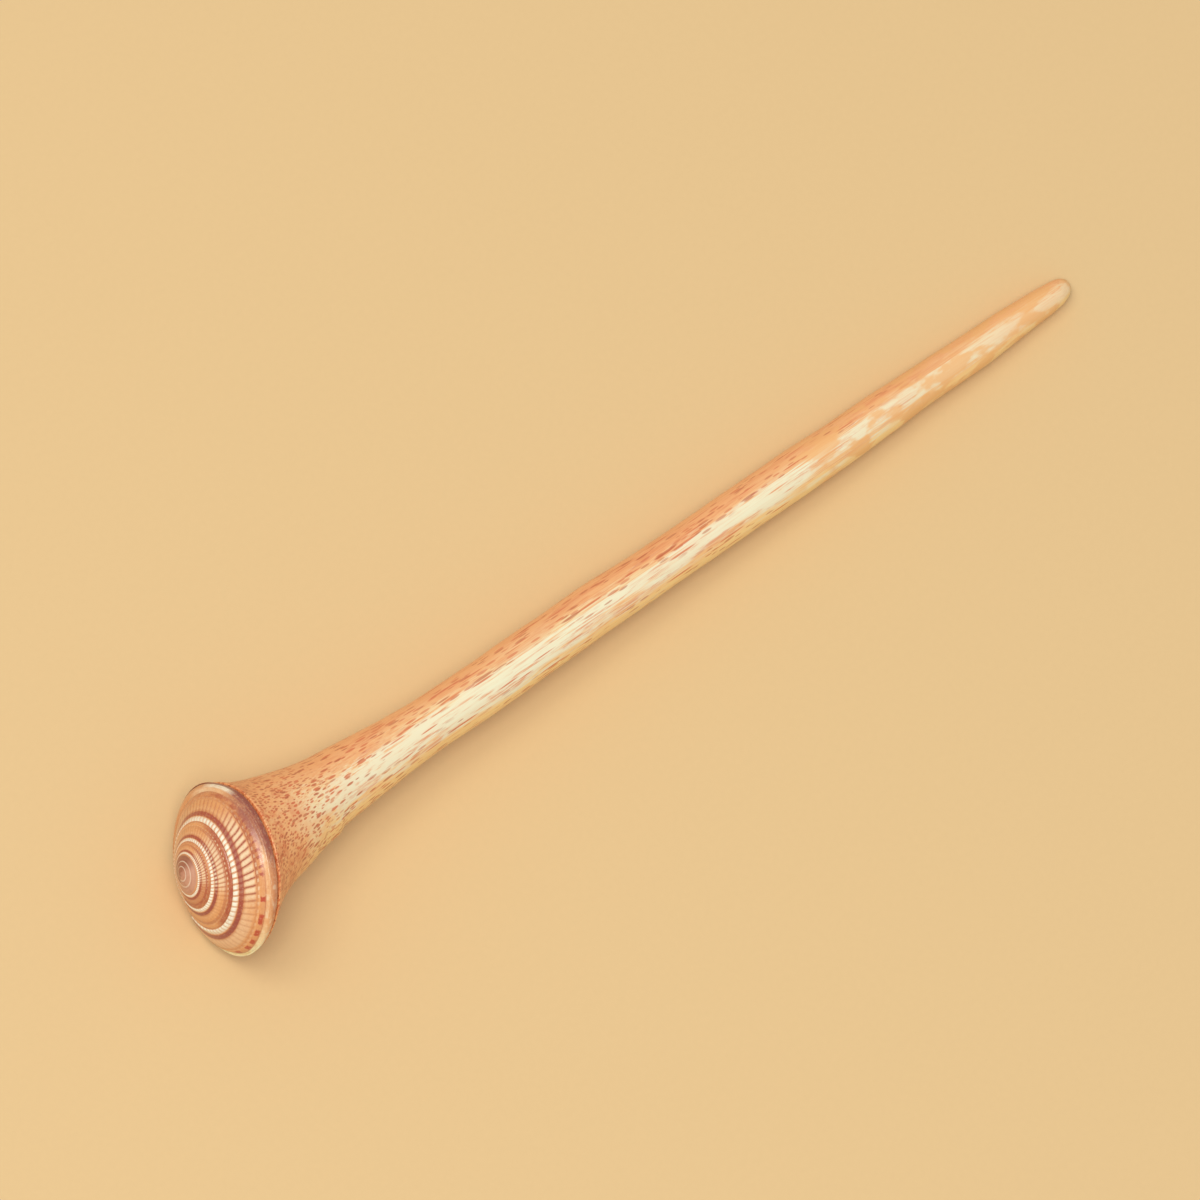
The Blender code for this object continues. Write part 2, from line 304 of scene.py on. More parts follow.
def shell_rows(turn, settings):
    """Rows of points from the underside's edge over the keel and the band up the coil.

    Gives for each row its reach, its height over the underside (metres) and its coil number."""
    radius = settings.rim_radius
    rows = [(outline(turn) * radius - BASE_INSET, 0.0 * turn, -0.66)]
    for k in range(NOSE_STEPS):
        angle = math.radians(-75.0 + 150.0 * k / (NOSE_STEPS - 1))
        reach = outline(turn) * radius + NOSE_RADIUS * (math.cos(angle) - 1.0)
        height = KEEL_HEIGHT + NOSE_RISE + NOSE_RADIUS * math.sin(angle) + 0.0 * turn
        rows.append((reach, height, -0.62 + 0.024 * k))
    for share in BAND_SHARES:
        reach, height = band_row(turn, share * 0.985, settings)
        rows.append((reach * radius, height * radius + KEEL_HEIGHT, SUTURE - BAND_SPAN * share))
    for whorl in range(WHORLS):
        for step in STEPS:
            reach, height = coil_row(turn, whorl + step, settings)
            rows.append((reach * radius, height * radius + KEEL_HEIGHT, whorl + step))
    reach, height = coil_row(turn, WHORLS + SUTURE, settings)
    rows.append((reach * radius, height * radius + KEEL_HEIGHT, WHORLS + SUTURE))
    return rows


def ring_point(turn, reach, height):
    angle = 2.0 * math.pi * turn
    return np.stack((reach * np.cos(angle), -reach * np.sin(angle), height + 0.0 * angle), axis=-1)


def along(path, fractions):
    """Points at fractions of a path's length."""
    lengths = np.concatenate(([0.0], np.cumsum(np.linalg.norm(np.diff(path, axis=0), axis=1))))
    return np.stack([np.interp(fractions * lengths[-1], lengths, path[:, k]) for k in range(3)], axis=1)


def length_shares(path):
    lengths = np.concatenate(([0.0], np.cumsum(np.linalg.norm(np.diff(path, axis=0), axis=1))))
    return lengths / lengths[-1]


def zipped(a, b, place):
    """Triangles between two chains of vertex numbers that share both ends."""
    share_a, share_b = (length_shares(np.array([place[n] for n in chain])) for chain in (a, b))
    faces, i, j = [], 0, 0
    while i < len(a) - 1 or j < len(b) - 1:
        if j == len(b) - 1 or (i < len(a) - 1 and share_a[i + 1] <= share_b[j + 1]):
            corners, i = (a[i], a[i + 1], b[j]), i + 1
        else:
            corners, j = (a[i], b[j + 1], b[j]), j + 1
        if len(set(corners)) == 3:
            faces.append(corners)
    return faces


def mouth_rows(roof, floor):
    """Rows from the roof of the mouth to its floor, the middle ones pushed in round the coil."""
    lower = along(floor, length_shares(roof))
    drop = lower - roof
    size = np.maximum(np.linalg.norm(drop, axis=1, keepdims=True), 1e-9)
    wall = np.minimum(MOUTH_WALL, 0.3 * size) / size
    rows = []
    for inset, depth in ((1.0, 0.0), (1.1, 0.35), (1.3, 0.75), (1.9, 1.0)):
        rows.append((roof + drop * wall * inset, depth))
    for inset, depth in ((1.9, 1.0), (1.3, 0.75), (1.1, 0.35), (1.0, 0.0)):
        rows.append((lower - drop * wall * inset, depth))
    pushed = []
    for points, depth in rows:
        turn = -MOUTH_DEPTH * depth
        angle = 2.0 * math.pi * turn
        spin = np.array(((math.cos(angle), math.sin(angle)), (-math.sin(angle), math.cos(angle))))
        flat = points[:, :2] @ spin.T * math.exp(0.24 * turn)
        pushed.append(np.concatenate((flat, points[:, 2:]), axis=1))
    return pushed


def build_shell(settings):
    """The shell as one mesh, with turn and coil number of every corner in its map "coil"."""
    columns = 9 * settings.ribs
    turn = FIRST_TURN + np.arange(columns + 1) / columns
    rows = shell_rows(turn, settings)
    low_rows = 1 + NOSE_STEPS + len(BAND_SHARES)
    grid = np.stack([ring_point(turn, reach, height) for reach, height, _ in rows])
    coil = np.array([row[2] for row in rows])
    count = len(rows)
    # vertex numbers: the last column's inner part is the first column, one whorl further in
    number = np.arange(count * (columns + 1)).reshape(count, columns + 1)
    join = low_rows + len(STEPS)
    number[join:, columns] = number[low_rows:low_rows + count - join, 0]
    points = [tuple(p) for p in grid.reshape(-1, 3)]
    faces, marks = [], []
    for i in range(count - 1):
        for j in range(columns):
            faces.append((number[i, j], number[i + 1, j], number[i + 1, j + 1], number[i, j + 1]))
            marks.append(((turn[j], coil[i]), (turn[j], coil[i + 1]),
                          (turn[j + 1], coil[i + 1]), (turn[j + 1], coil[i])))
    # cap at the apex
    loop = [(number[-1, j], turn[j], coil[-1]) for j in range(columns)]
    loop += [(number[i, 0], turn[-1], coil[i] + 1.0) for i in range(count - 1 - len(STEPS), count - 1)]
    reach, height = leaned(0.0, 0.0, dome(0.0))
    apex = len(points)
    points.append(tuple(ring_point(0.0, reach * settings.rim_radius,
                                   height * settings.rim_radius + KEEL_HEIGHT)))
    for a, b in zip(loop, loop[1:] + loop[:1]):
        faces.append((a[0], apex, b[0]))
        marks.append(((a[1], a[2]), (a[1], WHORLS + 0.5), (b[1], b[2])))
    # underside
    centre = len(points)
    points.append((0.0, 0.0, 0.0))
    for j in range(columns):
        faces.append((number[0, j + 1], centre, number[0, j]))
        marks.append(((turn[j + 1], -0.66), (turn[j], -0.7), (turn[j], -0.66)))
    faces.append((number[0, 0], centre, number[0, columns]))
    marks.append(((turn[0], -0.66), (turn[0], -0.7), (turn[-1], -0.66)))
    # mouth
    roof_numbers = [number[i, columns] for i in range(join + 1)]
    roof = np.array([points[n] for n in roof_numbers])
    floor_numbers = [number[0, columns]] + list(number[:low_rows + 1, 0])
    floor = np.array([points[n] for n in floor_numbers])
    previous = roof_numbers
    for points_row in mouth_rows(roof, floor):
        row = [previous[0]] + list(range(len(points), len(points) + len(points_row) - 2)) + [previous[-1]]
        points += [tuple(p) for p in points_row[1:-1]]
        for k in range(len(row) - 1):
            corners = (previous[k], previous[k + 1], row[k + 1], row[k])
            corners = tuple(dict.fromkeys(corners))
            faces.append(corners)
            marks.append(((turn[-1], -0.75),) * len(corners))
        previous = row
    for corners in zipped(previous, floor_numbers, points):
        faces.append(corners)
        marks.append(((turn[-1], -0.75),) * 3)
    return points, faces, marks


def grown_mesh(name, points, faces, marks):
    """A smooth mesh from points and faces; marks are each corner's place on the coil."""
    bm = bmesh.new()
    verts = [bm.verts.new(p) for p in points]
    layer = bm.loops.layers.uv.new("coil")
    for corners, places in zip(faces, marks):
        face = bm.faces.new([verts[n] for n in corners])
        face.smooth = True
        for loop, place in zip(face.loops, places):
            loop[layer].uv = place
    loose = [v for v in bm.verts if not v.link_faces]
    bmesh.ops.delete(bm, geom=loose, context="VERTS")
    bmesh.ops.recalc_face_normals(bm, faces=bm.faces[:])
    mesh = bpy.data.meshes.new(name)
    bm.to_mesh(mesh)
    bm.free()
    return mesh


# ==== stick form ================================================================================

def bar_radius(x):
    """Radius of the bar, its corners eased over a few millimetres except near the tip."""
    places, radii = zip(*BAR)
    ease = 0.003 * smooth((0.172 - x) / 0.01) + 0.0002
    return sum(np.interp(x + ease * k, places, radii) for k in (-1.0, -0.5, 0.0, 0.5, 1.0)) / 5.0


def seat_outline(turn, rim_radius):
    """Outline of the wood's end face: the shell's own, with its dent and its lip eased."""
    turn = (turn - FIRST_TURN) % 1.0 + FIRST_TURN
    left = smooth((FIRST_TURN + 1.0 - turn) / LIP_EASE)
    edge = outline(FIRST_TURN, SEAT_DENT) * (1.0 - left) + outline(turn, SEAT_DENT) * left
    return edge * rim_radius - FLARE_INSET


def carved(x, side):
    """What the knife left: soft swellings and hollows, one ledge, a bow and a slight wander."""
    left = 0.0 * x
    for place, facing, amount, length in HAND_CUT:
        left = left + amount * bump(x, place, length) * np.clip(side * facing, 0.0, 1.0) ** 2
    ledge = LEDGE[1] * smooth((LEDGE[0] - x) / 0.0008) * bump(x, LEDGE[0], 0.0030)
    left = left + ledge * np.clip(-side, 0.0, 1.0) ** 4
    left = left - BOW * side * smooth((STICK_LENGTH - x) / 0.004)
    wander = np.sin(x * 410.0 + 2.0 * side) + 0.6 * np.sin(x * 930.0 - 3.0 * side + 1.0)
    return left + 0.00002 * wander


def build_stick(settings, rim_radius):
    """The bar along +X in its own axes, from the slanted end face to the rounded tip."""
    turn_axes = np.array(shell_axes())
    turn = np.arange(settings.sides) / settings.sides
    angle = 2.0 * math.pi * turn
    flat = np.stack((np.cos(angle), -np.sin(angle), 0.0 * angle), axis=1)
    seat = flat * seat_outline(turn, rim_radius)[:, None] @ turn_axes.T
    seat += np.array((0.0, SHELL_SHIFT, 0.0)) - turn_axes[:, 2] * SEAT_GAP
    reach_out = np.hypot(seat[:, 1], seat[:, 2])
    outward = seat[:, 1:] / reach_out[:, None]
    extra = reach_out - bar_radius(seat[:, 0])
    fade = FLARE_LENGTH * (1.0 + FLARE_UNEVEN * np.cos(angle))

    def ring(x, drawn_in=0.0):
        reach = bar_radius(x) + extra * np.exp(-(x - seat[:, 0]) / fade)
        reach = reach + carved(x, outward[:, 0]) * smooth((x - seat[:, 0]) / 0.002) - drawn_in
        reach = reach - TIP_REST * np.clip(-outward[:, 1], 0.0, 1.0) ** 2 * smooth((x - 0.140) / 0.02)
        shown = x + TIP_GROWTH * smooth((x - 0.150) / (STICK_LENGTH - 0.150))
        return np.stack((shown, outward[:, 0] * reach, outward[:, 1] * reach), axis=1)

    rings = [ring(seat[:, 0], 0.0002), ring(seat[:, 0] + 0.00012, 0.00005)]
    depth = 0.0003
    while depth < SLANT_DEPTH:
        rings.append(ring(seat[:, 0] * (1.0 - depth / SLANT_DEPTH) + depth))
        depth += min(settings.ring_step, 0.0003 + 0.03 * depth)
    x = SLANT_DEPTH
    while x < 0.174:
        rings.append(ring(np.full(settings.sides, x)))
        x += settings.ring_step
    for k in range(24):
        x = 0.174 + (STICK_LENGTH - 0.174) * math.sin(0.5 * math.pi * k / 24.0)
        rings.append(ring(np.full(settings.sides, x)))
    bm = bmesh.new()
    loops = [[bm.verts.new(p) for p in points] for points in rings]
    for a, b in zip(loops, loops[1:]):
        for k in range(settings.sides):
            n = (k + 1) % settings.sides
            bm.faces.new((a[k], a[n], b[n], b[k])).smooth = True
    tip = bm.verts.new((STICK_LENGTH + TIP_GROWTH, 0.0, 0.0))
    seat_middle = bm.verts.new(seat.mean(axis=0))
    for k in range(settings.sides):
        n = (k + 1) % settings.sides
        bm.faces.new((loops[-1][k], loops[-1][n], tip)).smooth = True
        bm.faces.new((loops[0][n], loops[0][k], seat_middle))
    bmesh.ops.recalc_face_normals(bm, faces=bm.faces[:])
    mesh = bpy.data.meshes.new("palm_stick")
    bm.to_mesh(mesh)
    bm.free()
    return mesh


# ==== material helpers ==========================================================================

def tone(colour, strength=1.0):
    """A display colour as scene-linear light, with alpha."""
    return tuple((c / 12.92 if c <= 0.04045 else ((c + 0.055) / 1.055) ** 2.4) * strength
                 for c in colour) + (1.0,)


def blend_of(a, b, share):
    return tuple(p * (1.0 - share) + q * share for p, q in zip(a, b))


class Net:
    """Adds shader nodes to one node tree and wires them; a value may be a socket or a constant."""

    def __init__(self, tree):
        self.tree = tree

    def put(self, kind, **values):
        node = self.tree.nodes.new(kind)
        for key, value in values.items():
            setattr(node, key, value)
        return node

    def wire(self, value, socket):
        if isinstance(value, bpy.types.NodeSocket):
            self.tree.links.new(value, socket)
        elif value is not None:
            socket.default_value = value

    def calc(self, operation, a, b=None, c=None, clamp=False):
        node = self.put("ShaderNodeMath", operation=operation, use_clamp=clamp)
        for socket, value in zip(node.inputs, (a, b, c)):
            self.wire(value, socket)
        return node.outputs[0]

    def less(self, a, b):
        return self.calc("SUBTRACT", a, b)

    def scaled(self, value, gain, offset):
        """The value times gain, plus offset."""
        return self.calc("MULTIPLY_ADD", value, gain, offset)

    def times(self, *values):
        product = values[0]
        for value in values[1:]:
            product = self.calc("MULTIPLY", product, value)
        return product

    def step_up(self, value, low, high):
        """0 below low, 1 above high, smooth between; turned round where low is over high."""
        node = self.put("ShaderNodeMapRange", interpolation_type="SMOOTHSTEP")
        ends = (low, high, 0.0, 1.0) if low < high else (high, low, 1.0, 0.0)
        for name, given in zip(("Value", "From Min", "From Max", "To Min", "To Max"), (value,) + ends):
            self.wire(given, node.inputs[name])
        return node.outputs["Result"]

    def window(self, value, start, full, fall, end):
        """0 outside start to end, 1 between full and fall."""
        return self.times(self.step_up(value, start, full), self.step_up(value, end, fall))

    def mixed(self, factor, a, b):
        node = self.put("ShaderNodeMix", data_type="RGBA")
        for number, value in ((0, factor), (6, a), (7, b)):
            self.wire(value, node.inputs[number])
        return node.outputs[2]

    def painted(self, ground, colour, *masks):
        """The ground with a colour laid over it where all the masks are."""
        return self.mixed(self.times(*masks), ground, colour)

    def ramp(self, value, stops):
        """A colour ramp; a stop's colour may be one number for a mask."""
        node = self.put("ShaderNodeValToRGB")
        self.wire(value, node.inputs[0])
        elements = node.color_ramp.elements
        while len(elements) < len(stops):
            elements.new(1.0)
        for element, (place, colour) in zip(elements, stops):
            element.position = place
            element.color = colour if isinstance(colour, tuple) else (colour, colour, colour, 1.0)
        return node.outputs["Color"]

    def noise(self, vector, scale, detail=2.0, roughness=0.5):
        node = self.put("ShaderNodeTexNoise")
        values = (("Vector", vector), ("Scale", scale), ("Detail", detail), ("Roughness", roughness))
        for name, value in values:
            self.wire(value, node.inputs[name])
        return node.outputs["Fac"]

    def drawn_out(self, vector, scale, detail=2.0, roughness=0.5):
        """Noise with its own scale on each axis."""
        node = self.put("ShaderNodeVectorMath", operation="MULTIPLY")
        self.wire(vector, node.inputs[0])
        self.wire(scale, node.inputs[1])
        return self.noise(node.outputs[0], 1.0, detail, roughness)

    def split(self, vector):
        """The three parts of a vector."""
        node = self.put("ShaderNodeSeparateXYZ")
        self.wire(vector, node.inputs[0])
        return node.outputs


def new_material(name, roughness, coat, coat_roughness):
    """A material with a Principled shader, its plain constants set on the shader itself."""
    material = bpy.data.materials.new(name)
    material.use_nodes = True
    shader = material.node_tree.nodes["Principled BSDF"]
    shader.inputs["Roughness"].default_value = roughness
    shader.inputs["Coat Weight"].default_value = coat
    shader.inputs["Coat Roughness"].default_value = coat_roughness
    return material, Net(material.node_tree), shader


def make_group(name, inputs, outputs):
    """An empty shader node group with named sockets."""
    group = bpy.data.node_groups.new(name, "ShaderNodeTree")
    for label, kind, value in inputs:
        socket = group.interface.new_socket(name=label, in_out="INPUT", socket_type=kind)
        if value is not None:
            socket.default_value = value
    for label, kind in outputs:
        group.interface.new_socket(name=label, in_out="OUTPUT", socket_type=kind)
    net = Net(group)
    return net, net.put("NodeGroupInput").outputs, net.put("NodeGroupOutput").inputs


def bar_axes_place(net):
    """Places in the bar's own axes: X along the fibres, Z towards the upper side."""
    place = lying()
    node = net.put("ShaderNodeMapping", vector_type="TEXTURE")
    net.wire(net.put("ShaderNodeTexCoord").outputs["Object"], node.inputs["Vector"])
    node.inputs["Location"].default_value = place.to_translation()
    node.inputs["Rotation"].default_value = place.to_euler()
    return node.outputs[0]


def handled_group():
    """Handling and age: a cloudy tone, uneven gloss and fine scratches, shared by both finishes."""
    name = "handled_surface"
    if name in bpy.data.node_groups:
        return bpy.data.node_groups[name]
    net, given, result = make_group(
        name,
        (("Vector", "NodeSocketVector", None), ("Cloud Scale", "NodeSocketFloat", 180.0),
         ("Fine Scale", "NodeSocketFloat", 2500.0), ("Gloss", "NodeSocketFloat", 0.35),
         ("Gloss Change", "NodeSocketFloat", 0.12)),
        (("Cloud", "NodeSocketFloat"), ("Roughness", "NodeSocketFloat"), ("Height", "NodeSocketFloat")))
    cloud = net.noise(given["Vector"], given["Cloud Scale"], 3.0, 0.55)
    fine = net.noise(given["Vector"], given["Fine Scale"], 4.0, 0.6)
    net.wire(net.step_up(cloud, 0.3, 0.7), result["Cloud"])
    spread = net.less(net.calc("ADD", cloud, fine), 1.0)
    net.wire(net.scaled(spread, given["Gloss Change"], given["Gloss"]), result["Roughness"])
    net.wire(fine, result["Height"])
    return net.tree


def handled(net, vector, cloud_scale, fine_scale, gloss, change):
    node = net.put("ShaderNodeGroup", node_tree=handled_group())
    net.wire(vector, node.inputs["Vector"])
    values = (("Cloud Scale", cloud_scale), ("Fine Scale", fine_scale),
              ("Gloss", gloss), ("Gloss Change", change))
    for key, value in values:
        node.inputs[key].default_value = value
    return node.outputs


def finish_bump(net, shader, height, strength, distance):
    node = net.put("ShaderNodeBump")
    node.inputs["Strength"].default_value = strength
    node.inputs["Distance"].default_value = distance
    net.wire(height, node.inputs["Height"])
    net.wire(node.outputs["Normal"], shader.inputs["Normal"])


# ==== shell finish ==============================================================================

# red-brown spots on the last whorl's outer cord: place in turns, half width
SPOTS = ((0.080, 0.018), (0.130, 0.013), (0.283, 0.006), (0.333, 0.009), (0.3765, 0.018),
         (0.411, 0.012), (0.439, 0.010), (0.463, 0.011), (0.502, 0.014))


def around(net, turn, stops):
    """A ramp round the last whorl; places are turns counted from the top."""
    return net.ramp(net.less(turn, FIRST_TURN),
                    [(place - FIRST_TURN, colour) for place, colour in stops])


def spot_row(net, turn):
    stops = []
    for place, half in SPOTS:
        for offset, value in ((-1.0, 0.0), (0.0, 1.0), (1.0, 0.0)):
            stops.append((place + offset * half, value))
    return net.step_up(around(net, turn, stops), 0.15, 0.55)


def rib_group(settings):
    """Ribs of the coil: crest and groove masks and a number that differs from rib to rib."""
    net, given, result = make_group(
        "rib_pattern",
        (("Turn", "NodeSocketFloat", 0.0), ("Coil", "NodeSocketFloat", 0.0),
         ("Wander", "NodeSocketFloat", 0.0)),
        (("Crest", "NodeSocketFloat"), ("Groove", "NodeSocketFloat"), ("Number", "NodeSocketFloat")))
    phase = net.less(net.calc("MULTIPLY", given["Turn"], float(settings.ribs)),
                     net.calc("MULTIPLY", given["Coil"], float(RIB_SKEW)))
    phase = net.scaled(given["Wander"], 0.35, phase)
    wave = net.calc("COSINE", net.calc("MULTIPLY", phase, 2.0 * math.pi))
    crest = net.scaled(wave, 0.5, 0.5)
    net.wire(crest, result["Crest"])
    net.wire(net.calc("POWER", net.calc("SUBTRACT", 1.0, crest, clamp=True), 4.0), result["Groove"])
    step = net.put("ShaderNodeTexNoise", noise_dimensions="1D")
    net.wire(net.calc("ROUND", phase), step.inputs["W"])
    for name, value in (("Scale", 0.9), ("Detail", 0.0), ("Roughness", 0.5)):
        net.wire(value, step.inputs[name])
    net.wire(step.outputs["Fac"], result["Number"])
    return net.tree


def shell_marks(net, settings):
    """Where a point lies on the shell: its turn, coil number, place in the whorl and the masks."""
    mapped = net.put("ShaderNodeUVMap", uv_map="coil").outputs["UV"]
    body = net.put("ShaderNodeTexCoord").outputs["Object"]
    turn, coil = net.split(mapped)[:2]
    ribs = net.put("ShaderNodeGroup", node_tree=rib_group(settings))
    for key, value in (("Turn", turn), ("Coil", coil), ("Wander", net.noise(body, 420.0, 2.0))):
        net.wire(value, ribs.inputs[key])
    whorl = net.calc("FLOOR", net.less(coil, SUTURE_SIDE))
    step = net.less(coil, whorl)
    last = net.step_up(net.less(turn, whorl), -0.16, 0.05)
    nearest = net.calc("MAXIMUM", net.calc("ROUND", coil), 1.0)
    off_beads = net.calc("ABSOLUTE", net.less(coil, nearest))
    return SimpleNamespace(
        mapped=mapped, body=body, turn=turn, coil=coil, step=step, last=last, older=net.less(1.0, last),
        crest=ribs.outputs["Crest"], groove=ribs.outputs["Groove"], uneven=ribs.outputs["Number"],
        # painted_highlight_sector: the turns where a soft light's reflection is painted on rib tops and
        # dots
        painted_highlight_sector=net.window(turn, 0.10, 0.19, 0.31, 0.37), late=net.step_up(turn, 0.33, 0.42),
        early=net.step_up(turn, -0.01, -0.10), in_beads=net.step_up(off_beads, 0.105, 0.085),
        dot_row=net.window(step, 0.235, 0.255, 0.285, 0.305),
        cloud=net.noise(body, 330.0, 3.0, 0.6),
        mottle=net.drawn_out(mapped, (34.0, 9.0, 1.0), 4.0, 0.65),
        worn=handled(net, body, 260.0, 5200.0, 0.36, 0.16))


def shell_inks(settings):
    """The shell's colours: those set in the panel, and the ones mixed from them."""
    tan, rust = tone(settings.tan), tone(settings.rust)
    return SimpleNamespace(
        tan=tan, rust=rust, cream=tone(settings.cream), bead=tone(settings.bead),
        mauve=tone(settings.mauve), warm=blend_of(tan, rust, 0.32),
        deep=tone(tuple(c * 0.80 for c in settings.rust)),
        rosy=tone(blend_of(settings.mauve, settings.cream, 0.30)), plum=tone((0.56, 0.25, 0.26)),
        brick=tone((0.74, 0.27, 0.17)), chestnut=tone((0.62, 0.33, 0.25)),
        umber=tone((0.56, 0.33, 0.26)), rose_grey=tone((0.80, 0.58, 0.49)),
        yellow=tone((1.0, 0.96, 0.76)), painted_glint=tone((1.0, 0.95, 0.85)))


def whorl_bands(net, at, ink):
    """The colours across a whorl, from one suture to the next."""
    bands = ((0.0, blend_of(ink.rust, ink.tan, 0.35)), (0.02, blend_of(ink.tan, ink.rust, 0.18)),
             (0.10, blend_of(ink.tan, ink.rust, 0.10)), (0.15, ink.tan), (0.175, ink.warm),
             (0.20, ink.warm), (0.235, blend_of(ink.tan, ink.rust, 0.06)),
             (0.35, blend_of(ink.tan, ink.rust, 0.08)), (0.50, blend_of(ink.tan, ink.cream, 0.12)),
             (0.590, blend_of(ink.tan, ink.rust, 0.45)), (0.615, ink.rust), (0.735, ink.rust),
             (0.770, blend_of(ink.rust, ink.tan, 0.65)), (0.795, blend_of(ink.tan, ink.bead, 0.45)),
             (0.835, ink.bead), (0.955, ink.bead), (0.985, blend_of(ink.tan, ink.rust, 0.3)),
             (1.0, blend_of(ink.rust, ink.tan, 0.35)))
    ground = net.ramp(net.less(at.step, SUTURE_SIDE), bands)
    ground = net.painted(ground, ink.warm, net.step_up(at.mottle, 0.45, 0.75), 0.30)
    ground = net.painted(ground, ink.cream, at.early, 0.15)
    return ground


def paint_ribs(net, ground, at, ink):
    """Painted highlight on the rib tops mid-band; thin brown grooves between them, partly painted shade.
    """
    # painted highlight: cream rib tops, laid only in the highlight sector
    pale = net.times(net.window(at.step, 0.31, 0.40, 0.62, 0.73), at.painted_highlight_sector,
                     net.scaled(at.crest, 0.45, 0.35), net.scaled(at.older, -0.15, 1.0))
    ground = net.painted(ground, ink.cream, pale)
    ground = net.painted(ground, ink.cream, net.window(at.step, 0.31, 0.40, 0.64, 0.73), at.late, at.last,
                         0.35)
    # brown grooves, partly painted shade in the grooves, strongest in the highlight sector
    strength = net.times(net.scaled(at.painted_highlight_sector, 0.45, 0.40), net.scaled(at.late, -0.5, 1.0),
                         net.scaled(at.uneven, 0.9, 0.65), net.scaled(at.older, -0.35, 1.0))
    cut = net.calc("MULTIPLY", net.times(at.groove, net.window(at.step, 0.30, 0.36, 0.88, 0.93)),
                   strength, clamp=True)
    ground = net.painted(ground, ink.rust, cut)
    # dark band: pinkish rib tops as a painted highlight in the highlight sector, purple in the grooves,
    # partly painted shade
    in_dark = net.window(at.step, 0.71, 0.74, 0.83, 0.89)
    ground = net.painted(ground, net.mixed(at.older, ink.rosy, ink.cream), in_dark, at.painted_highlight_sector, at.crest,
                         net.scaled(at.older, 0.15, 0.65))
    ground = net.painted(ground, ink.plum, in_dark, at.groove, net.scaled(at.painted_highlight_sector, 0.25, 0.25))
    ground = net.painted(ground, ink.plum, net.window(at.step, 0.70, 0.73, 0.82, 0.86), at.late, 0.55)
    return ground


def paint_cords(net, ground, at, ink):
    """The beaded cord's tan gaps, the small pale dots, and the brown stretches of older whorls."""
    gap = net.times(net.step_up(at.crest, 0.50, 0.08), at.in_beads, net.scaled(at.late, -0.40, 0.85),
                    net.scaled(net.step_up(at.turn, 0.16, 0.02), -0.45, 1.0))
    ground = net.painted(ground, ink.warm, gap)
    ground = net.painted(ground, ink.tan, at.in_beads, at.early, 0.35)
    # small pale dots inside the outer cord, over a brown line; the dots are painted paler in the
    # highlight sector, partly a painted highlight
    line = net.times(net.window(at.step, 0.225, 0.25, 0.31, 0.335),
                     net.window(at.turn, 0.10, 0.16, 0.28, 0.32))
    ground = net.painted(ground, blend_of(ink.rust, ink.tan, 0.15), line, 0.8)
    ground = net.painted(ground, blend_of(ink.tan, ink.cream, 0.7), at.dot_row,
                         net.step_up(at.crest, 0.35, 0.8), net.scaled(at.painted_highlight_sector, 0.35, 0.25))
    inner_line = net.times(net.window(at.step, 0.29, 0.32, 0.37, 0.43), at.older,
                           net.step_up(at.turn, 0.02, 0.12))
    ground = net.painted(ground, ink.rust, inner_line, 0.45)
    # brown stretches of the older whorls, inside each beaded cord
    patchy = net.scaled(net.step_up(at.mottle, 0.30, 0.62), 0.45, 0.55)
    first = net.times(net.window(at.coil, 1.075, 1.105, 1.235, 1.30),
                      net.window(at.turn, 0.03, 0.16, 0.44, 0.50))
    second = net.times(net.window(at.coil, 2.09, 2.13, 2.33, 2.46),
                       net.scaled(net.step_up(at.turn, 0.26, 0.38), 0.55, 0.30))
    stain = net.calc("MULTIPLY", net.calc("MAXIMUM", first, second), patchy)
    ground = net.painted(ground, ink.rust, stain, 0.95)
    # pale dots on the older whorls, laid only in the highlight sector: partly the dots' colour, partly
    # painted highlight
    ground = net.painted(ground, blend_of(ink.tan, ink.cream, 0.6), at.dot_row,
                         net.step_up(at.crest, 0.40, 0.85), at.painted_highlight_sector, at.older, 0.7)
    return ground


def paint_outer_cord(net, ground, at, ink):
    """The last whorl's outer cord: brown clouds, then spots with small dashes between them."""
    ragged = net.less(net.noise(at.body, 2200.0, 2.0), 0.5)
    frayed = net.scaled(ragged, 0.07, at.coil)
    on_cord = net.times(net.window(frayed, 0.100, 0.135, 0.200, 0.240), at.last)
    cloudy = net.times(net.window(at.coil, 0.09, 0.12, 0.24, 0.31),
                       net.window(at.turn, -0.10, -0.02, 0.22, 0.28),
                       net.scaled(net.step_up(at.mottle, 0.35, 0.65), 0.65, 0.30))
    ground = net.painted(ground, blend_of(ink.rust, ink.tan, 0.18), cloudy, 0.85)
    spots = net.times(spot_row(net, net.scaled(ragged, 0.012, at.turn)), on_cord)
    sharp = net.step_up(at.turn, 0.22, 0.32)
    ground = net.painted(ground, net.mixed(sharp, blend_of(ink.rust, ink.tan, 0.05), ink.brick), spots,
                         net.scaled(sharp, 0.30, 0.65))
    dashes = net.times(net.window(at.turn, 0.14, 0.17, 0.27, 0.30), on_cord,
                       net.step_up(net.scaled(at.uneven, 0.6, at.groove), 0.50, 0.80))
    ground = net.painted(ground, ink.rust, dashes, 0.8)
    return ground


